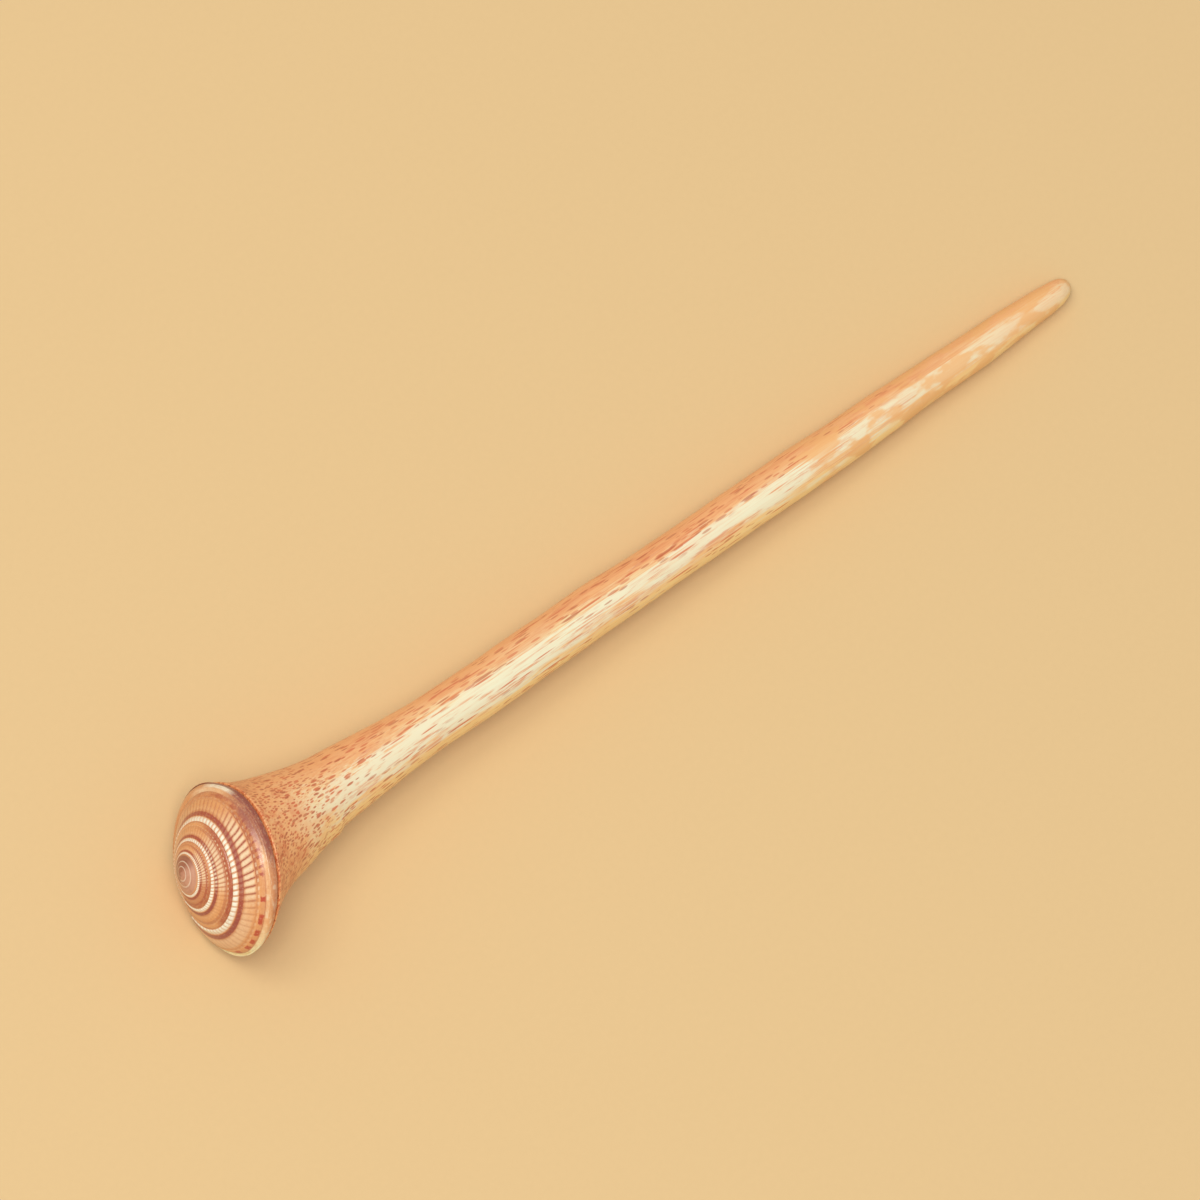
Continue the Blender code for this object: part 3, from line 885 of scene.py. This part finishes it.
def plain_band(net, at, ink):
    """The plain outer band, from the coil's side to the keel's."""
    share = net.calc("DIVIDE", net.less(SUTURE, at.coil), BAND_SPAN)
    # near the top, turns 0.0 to about 0.09, both sides are painted cream to near white as a painted
    # highlight; towards turn 0.46 the band is painted pale yellow, lighter than its own tone, against the
    # shade where it faces down
    coil_side = around(net, at.turn, (
        (-0.12, ink.warm), (-0.05, blend_of(ink.tan, ink.rust, 0.25)),
        (0.0, blend_of(ink.tan, ink.cream, 0.6)), (0.07, blend_of(ink.tan, ink.cream, 0.25)),
        (0.105, blend_of(ink.tan, ink.mauve, 0.5)), (0.14, blend_of(ink.mauve, ink.tan, 0.15)),
        (0.21, blend_of(ink.mauve, ink.tan, 0.15)), (0.255, blend_of(ink.tan, ink.cream, 0.15)),
        (0.38, blend_of(ink.tan, ink.cream, 0.15)), (0.46, ink.yellow)))
    keel_side = around(net, at.turn, (
        (-0.12, ink.tan), (-0.04, ink.warm), (0.0, blend_of(ink.tan, ink.rust, 0.35)),
        (0.035, ink.painted_glint), (0.085, ink.painted_glint), (0.110, ink.mauve),
        (0.16, blend_of(ink.mauve, ink.deep, 0.5)), (0.235, blend_of(ink.mauve, ink.deep, 0.4)),
        (0.285, blend_of(ink.tan, ink.rust, 0.45)), (0.38, blend_of(ink.tan, ink.rust, 0.10)),
        (0.45, ink.yellow)))
    plain = net.mixed(net.step_up(net.scaled(at.cloud, 0.4, share), 0.35, 0.85), coil_side, keel_side)
    streak = net.drawn_out(at.mapped, (60.0, 6.0, 1.0), 3.0)
    plain = net.painted(plain, ink.warm, net.step_up(streak, 0.45, 0.70), 0.35)
    blotch = net.times(net.window(at.turn, 0.145, 0.175, 0.225, 0.265),
                       net.window(share, 0.05, 0.15, 0.65, 0.80))
    plain = net.painted(plain, ink.chestnut, blotch, 0.55)
    plain = net.painted(plain, ink.cream, net.step_up(streak, 0.50, 0.30),
                        net.window(at.turn, 0.23, 0.28, 0.40, 0.5), 0.45)
    specks = net.drawn_out(at.mapped, (95.0, 26.0, 1.0), 3.0, 0.7)
    plain = net.painted(plain, blend_of(ink.tan, ink.cream, 0.5), net.step_up(specks, 0.56, 0.70),
                        net.window(at.turn, 0.10, 0.14, 0.24, 0.30), 0.45)
    plain = net.painted(plain, ink.deep, net.step_up(specks, 0.47, 0.34),
                        net.window(at.turn, 0.08, 0.12, 0.24, 0.30), 0.6)
    spiral = net.calc("MAXIMUM", net.window(share, 0.27, 0.30, 0.32, 0.35),
                      net.window(share, 0.60, 0.64, 0.67, 0.71))
    plain = net.painted(plain, ink.warm, spiral, 0.35)
    keel = net.step_up(net.scaled(at.cloud, 0.14, share), 0.82, 0.93)
    keel_dark = around(net, at.turn, ((-0.3, 0.9), (0.10, 0.9), (0.14, 0.7), (0.22, 0.55), (0.27, 0.25),
                                      (0.36, 0.45), (0.44, 0.1)))
    plain = net.painted(plain, ink.deep, keel, keel_dark)
    return plain


def shell_material(settings):
    """Bands, ribs, beads, spots and blotches laid out by turn and coil number."""
    material, net, shader = new_material("sundial_shell", 0.34, 0.35, 0.12)
    at, ink = shell_marks(net, settings), shell_inks(settings)
    ground = paint_ribs(net, whorl_bands(net, at, ink), at, ink)
    ground = paint_outer_cord(net, paint_cords(net, ground, at, ink), at, ink)
    plain = plain_band(net, at, ink)
    ground = net.painted(ground, plain, net.step_up(at.coil, 0.115, 0.085))
    spill = net.times(net.window(at.turn, 0.13, 0.15, 0.19, 0.24),
                      net.window(at.coil, 0.05, 0.09, 0.13, 0.22))
    ground = net.painted(ground, ink.mauve, spill, 0.7)
    # the older whorls' late stretch is browner, and fine grit lies over all of it
    inner = net.times(net.window(at.coil, 2.15, 2.5, 2.8, 2.95), net.step_up(at.turn, 0.28, 0.38))
    ground = net.painted(ground, ink.rust, inner, 0.45)
    grit = net.noise(at.body, 3300.0, 3.0, 0.7)
    ground = net.painted(ground, ink.rust, net.step_up(grit, 0.52, 0.70), 0.22)
    ground = net.painted(ground, ink.cream, net.step_up(grit, 0.46, 0.34), 0.18)
    # the oldest whorls are dusty mauve
    old = net.step_up(net.scaled(at.cloud, 0.3, at.coil), 3.2, 3.45)
    apex = net.mixed(net.step_up(at.turn, 0.10, 0.24), ink.umber, ink.rose_grey)
    apex = net.painted(apex, ink.mauve, net.step_up(at.cloud, 0.4, 0.65), 0.5)
    ground = net.painted(ground, apex, old, net.scaled(at.in_beads, -0.45, 0.90))
    # inside the mouth and the underside
    ground = net.painted(ground, blend_of(ink.tan, ink.cream, 0.6), net.step_up(at.coil, -0.62, -0.65))
    ground = net.painted(ground, ink.rust, at.worn["Cloud"], 0.08)
    net.wire(ground, shader.inputs["Base Color"])
    net.wire(at.worn["Roughness"], shader.inputs["Roughness"])

    growth = net.drawn_out(at.mapped, (430.0, 5.0, 1.0), 2.0)
    height = net.scaled(growth, 0.6, net.times(at.worn["Height"], 0.3))
    finish_bump(net, shader, height, 0.30, 0.00006)
    return material


# ==== wood finish ===============================================================================

def fibre_group():
    """Dark fibre bundles that run along X: dashes where the wood is cut along them, dots across."""
    name = "fibre_bundles"
    if name in bpy.data.node_groups:
        return bpy.data.node_groups[name]
    net, given, result = make_group(
        name,
        (("Vector", "NodeSocketVector", None), ("Spacing", "NodeSocketFloat", 0.0005),
         ("Stretch", "NodeSocketFloat", 0.16), ("Radius", "NodeSocketFloat", 0.3),
         ("Seed", "NodeSocketFloat", 0.0)),
        (("Mask", "NodeSocketFloat"), ("Number", "NodeSocketFloat")))
    parts = net.split(given["Vector"])
    joined = net.put("ShaderNodeCombineXYZ")
    x = net.calc("DIVIDE", net.calc("MULTIPLY", parts[0], given["Stretch"]), given["Spacing"])
    net.wire(net.calc("ADD", x, given["Seed"]), joined.inputs[0])
    for k in (1, 2):
        net.wire(net.calc("DIVIDE", parts[k], given["Spacing"]), joined.inputs[k])
    cells = net.put("ShaderNodeTexVoronoi")
    cells.inputs["Scale"].default_value = 1.0
    cells.inputs["Randomness"].default_value = 0.9
    net.wire(joined.outputs[0], cells.inputs["Vector"])
    number = net.split(cells.outputs["Color"])
    size = net.calc("MULTIPLY", given["Radius"], net.scaled(number[0], 0.6, 0.7))
    inside = net.calc("DIVIDE", cells.outputs["Distance"], size)
    net.wire(net.step_up(inside, 1.15, 0.75), result["Mask"])
    net.wire(number[1], result["Number"])
    return net.tree


def fibres(net, point, spacing, stretch, radius, seed):
    node = net.put("ShaderNodeGroup", node_tree=fibre_group())
    net.wire(point, node.inputs["Vector"])
    for key, value in (("Spacing", spacing), ("Stretch", stretch), ("Radius", radius), ("Seed", seed)):
        node.inputs[key].default_value = value
    return node.outputs


def wood_marks(net):
    """Where a point lies on the stick: its place along the bar, its side, and the grain there."""
    body = bar_axes_place(net)
    place, across, above = net.split(body)
    reach = net.calc("SQRT", net.calc("ADD", net.times(across, across), net.times(above, above)))
    reach = net.calc("MAXIMUM", reach, 0.0002)
    side, upward = net.calc("DIVIDE", across, reach), net.calc("DIVIDE", above, reach)
    streak = net.drawn_out(body, (55.0, 760.0, 760.0), 4.0, 0.65)
    broad = net.drawn_out(body, (18.0, 150.0, 150.0), 2.0)
    grain = net.drawn_out(body, (70.0, 3600.0, 3600.0), 3.0, 0.65)
    edge = net.scaled(broad, 0.30, side)
    frayed = net.scaled(net.less(streak, 0.5), 1.5, edge)
    frayed = net.scaled(net.less(grain, 0.5), 0.9, frayed)
    # painted highlight: a pale strip along the middle of the side that faces the lights, its edges frayed
    # by the grain
    painted_highlight = net.times(net.window(frayed, -0.66, -0.30, 0.10, 0.42), net.step_up(upward, 0.0, 0.6),
                    net.window(place, 0.004, 0.026, 0.120, 0.215))
    return SimpleNamespace(
        body=body, place=place, side=side, streak=streak, broad=broad, grain=grain, edge=edge, painted_highlight=painted_highlight,
        near_shell=net.step_up(net.scaled(broad, 0.012, place), 0.022, 0.008),
        past_flare=net.step_up(place, 0.012, 0.030), plain_tip=net.step_up(place, 0.150, 0.132),
        worn=handled(net, body, 90.0, 3200.0, 0.47, 0.14))


def wood_inks(settings):
    """The wood's colours: those set in the panel, and the ones that go with them."""
    orange, fleck = tone(settings.orange), tone(settings.fleck)
    return SimpleNamespace(
        pale=tone(settings.pale), honey=tone(settings.honey), orange=orange, fleck=fleck,
        dark=tone(tuple(c * 0.88 for c in settings.fleck)), painted_highlight=tone((0.94, 0.90, 0.77)),
        yellow=tone((1.0, 0.83, 0.55)), painted_floor_reflection=tone((1.0, 0.84, 0.56)),
        painted_edge_shade=tone((1.0, 0.70, 0.45)), stain=tone((0.96, 0.64, 0.40)),
        blush=tone((0.94, 0.68, 0.42)), streak=blend_of(orange, fleck, 0.35),
        brushed=blend_of(orange, fleck, 0.55), patch=blend_of(orange, fleck, 0.7),
        long_fleck=blend_of(fleck, orange, 0.25))


def wood_ground(net, at, ink):
    """The wood without its fibres: streaks, painted highlight and edge light, a stained flare, a flushed
    tip.
    """
    ground = net.mixed(net.step_up(at.streak, 0.40, 0.62), ink.honey, ink.pale)
    ground = net.painted(ground, ink.orange, net.step_up(at.broad, 0.45, 0.68), 0.45)
    # the upper edge is painted orange as painted shade, the lower edge yellower as a painted reflection
    # of the floor, with the painted highlight strip between them
    ground = net.painted(ground, ink.orange, net.step_up(at.edge, 0.30, 0.85), 0.85)
    ground = net.painted(ground, ink.yellow, net.step_up(at.edge, -0.30, -0.75), 0.85)
    # outermost edges: painted shade in orange on the upper one, painted floor reflection in yellow on the
    # lower one
    rim = net.times(net.step_up(net.calc("ABSOLUTE", at.side), 0.70, 0.98),
                    net.step_up(at.place, 0.010, 0.030))
    painted_edge_colour = net.mixed(net.step_up(at.side, -0.1, 0.1), ink.painted_floor_reflection, ink.painted_edge_shade)
    ground = net.painted(ground, painted_edge_colour, rim, 0.6)
    # painted highlight: the pale strip laid over the wood
    ground = net.painted(ground, ink.painted_highlight, at.painted_highlight, net.scaled(at.streak, 0.4, 0.72))
    ground = net.painted(ground, ink.stain, at.near_shell, 0.75)
    off_highlight = net.times(net.scaled(at.painted_highlight, -0.7, 1.0),
                        net.scaled(net.step_up(at.side, -0.35, 0.10), 0.55, 0.45))
    ground = net.painted(ground, ink.streak, net.step_up(at.grain, 0.48, 0.66), off_highlight, 0.65)
    # brushed streaks on both sides of the painted highlight strip
    brushed = net.drawn_out(at.body, (95.0, 900.0, 900.0), 4.0, 0.7)
    low = net.times(net.window(at.side, -0.85, -0.65, -0.25, 0.0), net.step_up(brushed, 0.47, 0.60),
                    net.step_up(at.grain, 0.40, 0.60), at.past_flare,
                    net.step_up(at.place, 0.150, 0.125))
    ground = net.painted(ground, ink.brushed, low, 0.8)
    high = net.times(net.window(at.side, 0.05, 0.25, 0.80, 0.97), net.step_up(brushed, 0.52, 0.40),
                     net.step_up(at.grain, 0.60, 0.42), at.past_flare,
                     net.step_up(at.place, 0.165, 0.140))
    ground = net.painted(ground, ink.brushed, high, 0.75)
    patch = net.drawn_out(at.body, (220.0, 300.0, 300.0), 4.0, 0.7)
    ground = net.painted(ground, ink.patch, at.near_shell, net.step_up(patch, 0.46, 0.60), 0.70)
    far = net.window(net.scaled(at.broad, 0.02, at.place), 0.12, 0.14, 0.19, 0.20)
    blush = net.drawn_out(at.body, (190.0, 480.0, 480.0), 3.0)
    return net.painted(ground, ink.blush, far, net.step_up(blush, 0.44, 0.58), 0.75)


def fibre_crowd(net, at):
    """How crowded the fibres are: most near the shell and on the upper side, least at the tip."""
    drift = net.drawn_out(at.body, (45.0, 330.0, 330.0), 2.0)
    crowd = net.calc("ADD", drift, net.times(net.step_up(at.place, 0.040, 0.004), 0.42))
    crowd = net.less(crowd, net.times(net.step_up(at.place, 0.095, 0.145), 0.26))
    upper = net.times(net.window(at.side, -0.05, 0.18, 0.70, 0.94), net.step_up(at.place, 0.008, 0.03))
    crowd = net.calc("ADD", crowd, net.times(upper, 0.30))
    # fewer fibres under the painted highlight strip, as if washed out by it
    crowd = net.less(crowd, net.times(at.painted_highlight, 0.10))
    return net.less(crowd, net.times(net.step_up(at.side, 0.70, 0.97), 0.10))


def paint_fibres(net, ground, at, ink, spacing):
    """Dots and dashes of dark fibre; also gives the mask of the small ones."""
    crowd = fibre_crowd(net, at)
    small = fibres(net, at.body, spacing, 0.17, 0.35, 3.1)
    round_ends = fibres(net, at.body, spacing * 0.86, 0.26, 0.34, 6.2)
    long = fibres(net, at.body, spacing, 0.050, 0.26, 8.4)
    big = fibres(net, at.body, spacing * 2.0, 0.10, 0.20, 5.7)
    shown = net.step_up(net.scaled(small["Number"], 0.35, crowd), 0.62, 0.78)
    flare = net.step_up(at.place, 0.036, 0.022)
    small_mask = net.times(small["Mask"], shown, net.scaled(flare, 0.3, 0.7))
    ends_mask = net.times(round_ends["Mask"], net.step_up(at.place, 0.026, 0.012),
                          net.step_up(round_ends["Number"], 0.2, 0.4))
    small_mask = net.times(net.calc("MAXIMUM", small_mask, ends_mask), at.plain_tip)
    long_mask = net.times(long["Mask"], net.step_up(net.scaled(long["Number"], 0.4, crowd), 0.50, 0.66),
                          net.step_up(at.place, 0.018, 0.035), at.plain_tip)
    big_mask = net.times(big["Mask"], net.step_up(net.scaled(big["Number"], 0.5, crowd), 0.92, 1.02))
    ground = net.painted(ground, net.mixed(long["Number"], ink.long_fleck, ink.fleck), long_mask, 0.85)
    small_colour = net.mixed(net.step_up(small["Number"], 0.35, 0.95), ink.fleck, ink.dark)
    ground = net.painted(ground, small_colour, small_mask, 0.88)
    return net.painted(ground, ink.dark, big_mask, at.plain_tip, 0.70), small_mask


def wood_material(settings):
    """Flecked palm wood: honey ground with paler and orange streaks, dark fibre bundles, wax."""
    material, net, shader = new_material("palm_wood", 0.46, 0.18, 0.30)
    at, ink = wood_marks(net), wood_inks(settings)
    ground, flecks = paint_fibres(net, wood_ground(net, at, ink), at, ink, settings.fibre_spacing)
    ground = net.painted(ground, ink.orange, at.worn["Cloud"], 0.08)
    net.wire(ground, shader.inputs["Base Color"])
    net.wire(at.worn["Roughness"], shader.inputs["Roughness"])
    height = net.scaled(flecks, -0.25, net.times(at.grain, 0.6))
    height = net.scaled(at.worn["Height"], 0.25, height)
    finish_bump(net, shader, height, 0.40, 0.00008)
    return material


# ==== operators =================================================================================

def add_piece(name, mesh, material, place, node):
    """Links a finished piece, in the place of its plain solid."""
    mesh.transform(place)
    mesh.materials.append(material)
    piece = bpy.data.objects.new(name, mesh)
    bpy.context.scene.collection.objects.link(piece)
    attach(piece, "root")
    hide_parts(node)
    return piece


class HAIRSTICK_OT_shell(bpy.types.Operator):
    """Builds the sundial shell: coil, beads, ribs, keel and mouth"""
    bl_idname = "hairstick.shell"
    bl_label = "Sundial Shell"
    bl_options = {"REGISTER", "UNDO"}

    def execute(self, context):
        settings = context.scene.hairstick_shell
        mesh = grown_mesh("sundial_shell", *build_shell(settings))
        add_piece("sundial_shell", mesh, shell_material(settings), shell_place(), "shell")
        return {"FINISHED"}


class HAIRSTICK_OT_stick(bpy.types.Operator):
    """Builds the palm-wood stick: flare, hand-cut bar and rounded tip"""
    bl_idname = "hairstick.stick"
    bl_label = "Palm Stick"
    bl_options = {"REGISTER", "UNDO"}

    def execute(self, context):
        settings = context.scene.hairstick_stick
        mesh = build_stick(settings, context.scene.hairstick_shell.rim_radius)
        add_piece("palm_stick", mesh, wood_material(settings), lying(), "stick")
        return {"FINISHED"}


def soft_light(name, aim, direction, size, power, colour):
    """A square area light that looks at aim from a direction."""
    data = bpy.data.lights.new(name, "AREA")
    data.shape = "SQUARE"
    data.size = size
    data.energy = power
    data.color = colour
    light = bpy.data.objects.new(name, data)
    bpy.context.scene.collection.objects.link(light)
    direction = direction.normalized()
    light.location = aim + direction * LIGHT_DISTANCE
    light.rotation_euler = direction.to_track_quat("Z", "Y").to_euler()


class HAIRSTICK_OT_stage(bpy.types.Operator):
    """Lays the floor and sets the lights and the camera"""
    bl_idname = "hairstick.stage"
    bl_label = "Stage"
    bl_options = {"REGISTER", "UNDO"}

    def execute(self, context):
        settings = context.scene.hairstick_stage
        self.lay_floor(settings)
        bar = lying()
        turn = bar.to_3x3()
        view, up = (turn @ Vector(VIEW)).normalized(), (turn @ Vector(VIEW_UP)).normalized()
        right = up.cross(view)
        axis = shell_axes() @ Vector((0.0, 0.0, 1.0))
        middle = bar @ (axis * KEEL_HEIGHT + Vector((0.0, SHELL_SHIFT, 0.0)))
        self.set_camera(settings, middle, view, up, right)
        self.set_lights(middle + right * LIT_RIGHT + up * LIT_UP, view, up, right)
        return {"FINISHED"}

    def lay_floor(self, settings):
        bpy.ops.mesh.primitive_plane_add(size=FLOOR_SIZE, location=(0.0, 0.0, -FLOOR_DROP))
        floor = bpy.context.object
        floor.name = "floor"
        material, net, shader = new_material("plain_paper", 0.85, 0.0, 0.5)
        soft = net.noise(net.put("ShaderNodeTexCoord").outputs["Object"], 900.0, 2.0)
        base = tone(settings.floor)
        darker = tuple(c * 0.97 for c in base[:3]) + (1.0,)
        net.wire(net.mixed(soft, base, darker), shader.inputs["Base Color"])
        floor.data.materials.append(material)

    def set_camera(self, settings, middle, view, up, right):
        data = bpy.data.cameras.new("camera")
        data.sensor_width = 36.0
        data.lens = settings.lens
        data.clip_end = 10.0
        camera = bpy.data.objects.new("camera", data)
        bpy.context.scene.collection.objects.link(camera)
        camera.location = middle + view * settings.distance
        aim = middle + right * settings.aim_right + up * settings.aim_up
        back = (camera.location - aim).normalized()
        side = up.cross(back).normalized()
        camera.matrix_world = (Matrix.Translation(camera.location)
                               @ Matrix((side, back.cross(side), back)).transposed().to_4x4())
        bpy.context.scene.camera = camera

    def set_lights(self, aim, view, up, right):
        world = bpy.data.worlds.new("studio")
        world.use_nodes = True
        sky = world.node_tree.nodes["Background"]
        sky.inputs["Color"].default_value = SKY
        sky.inputs["Strength"].default_value = SKY_STRENGTH
        bpy.context.scene.world = world
        bpy.context.scene.view_settings.view_transform = "Standard"
        for name, (above, aside, size, power, colour) in LIGHTS.items():
            soft_light(name, aim, view + up * above + right * aside, size, power, colour)


class HAIRSTICK_PT_panel(bpy.types.Panel):
    """Lists the pieces and the stage"""
    bl_idname = "HAIRSTICK_PT_panel"
    bl_label = "Shell Hair Stick"
    bl_space_type = "VIEW_3D"
    bl_region_type = "UI"
    bl_category = "Hair Stick"

    def draw(self, context):
        groups = (("hairstick_stick", HAIRSTICK_OT_stick), ("hairstick_shell", HAIRSTICK_OT_shell),
                  ("hairstick_stage", HAIRSTICK_OT_stage))
        for name, operator in groups:
            box = self.layout.box()
            settings = getattr(context.scene, name)
            for key in settings.__annotations__:
                box.prop(settings, key)
            box.operator(operator.bl_idname)


CLASSES = (ShellSettings, StickSettings, StageSettings, HAIRSTICK_OT_stick, HAIRSTICK_OT_shell,
           HAIRSTICK_OT_stage, HAIRSTICK_PT_panel)


def register():
    for cls in CLASSES:
        bpy.utils.register_class(cls)
    bpy.types.Scene.hairstick_shell = PointerProperty(type=ShellSettings)
    bpy.types.Scene.hairstick_stick = PointerProperty(type=StickSettings)
    bpy.types.Scene.hairstick_stage = PointerProperty(type=StageSettings)


def unregister():
    del bpy.types.Scene.hairstick_stage
    del bpy.types.Scene.hairstick_stick
    del bpy.types.Scene.hairstick_shell
    for cls in reversed(CLASSES):
        bpy.utils.unregister_class(cls)


def main():
    register()
    bpy.ops.hairstick.stick()
    bpy.ops.hairstick.shell()
    bpy.ops.hairstick.stage()


if __name__ == "__main__":
    main()
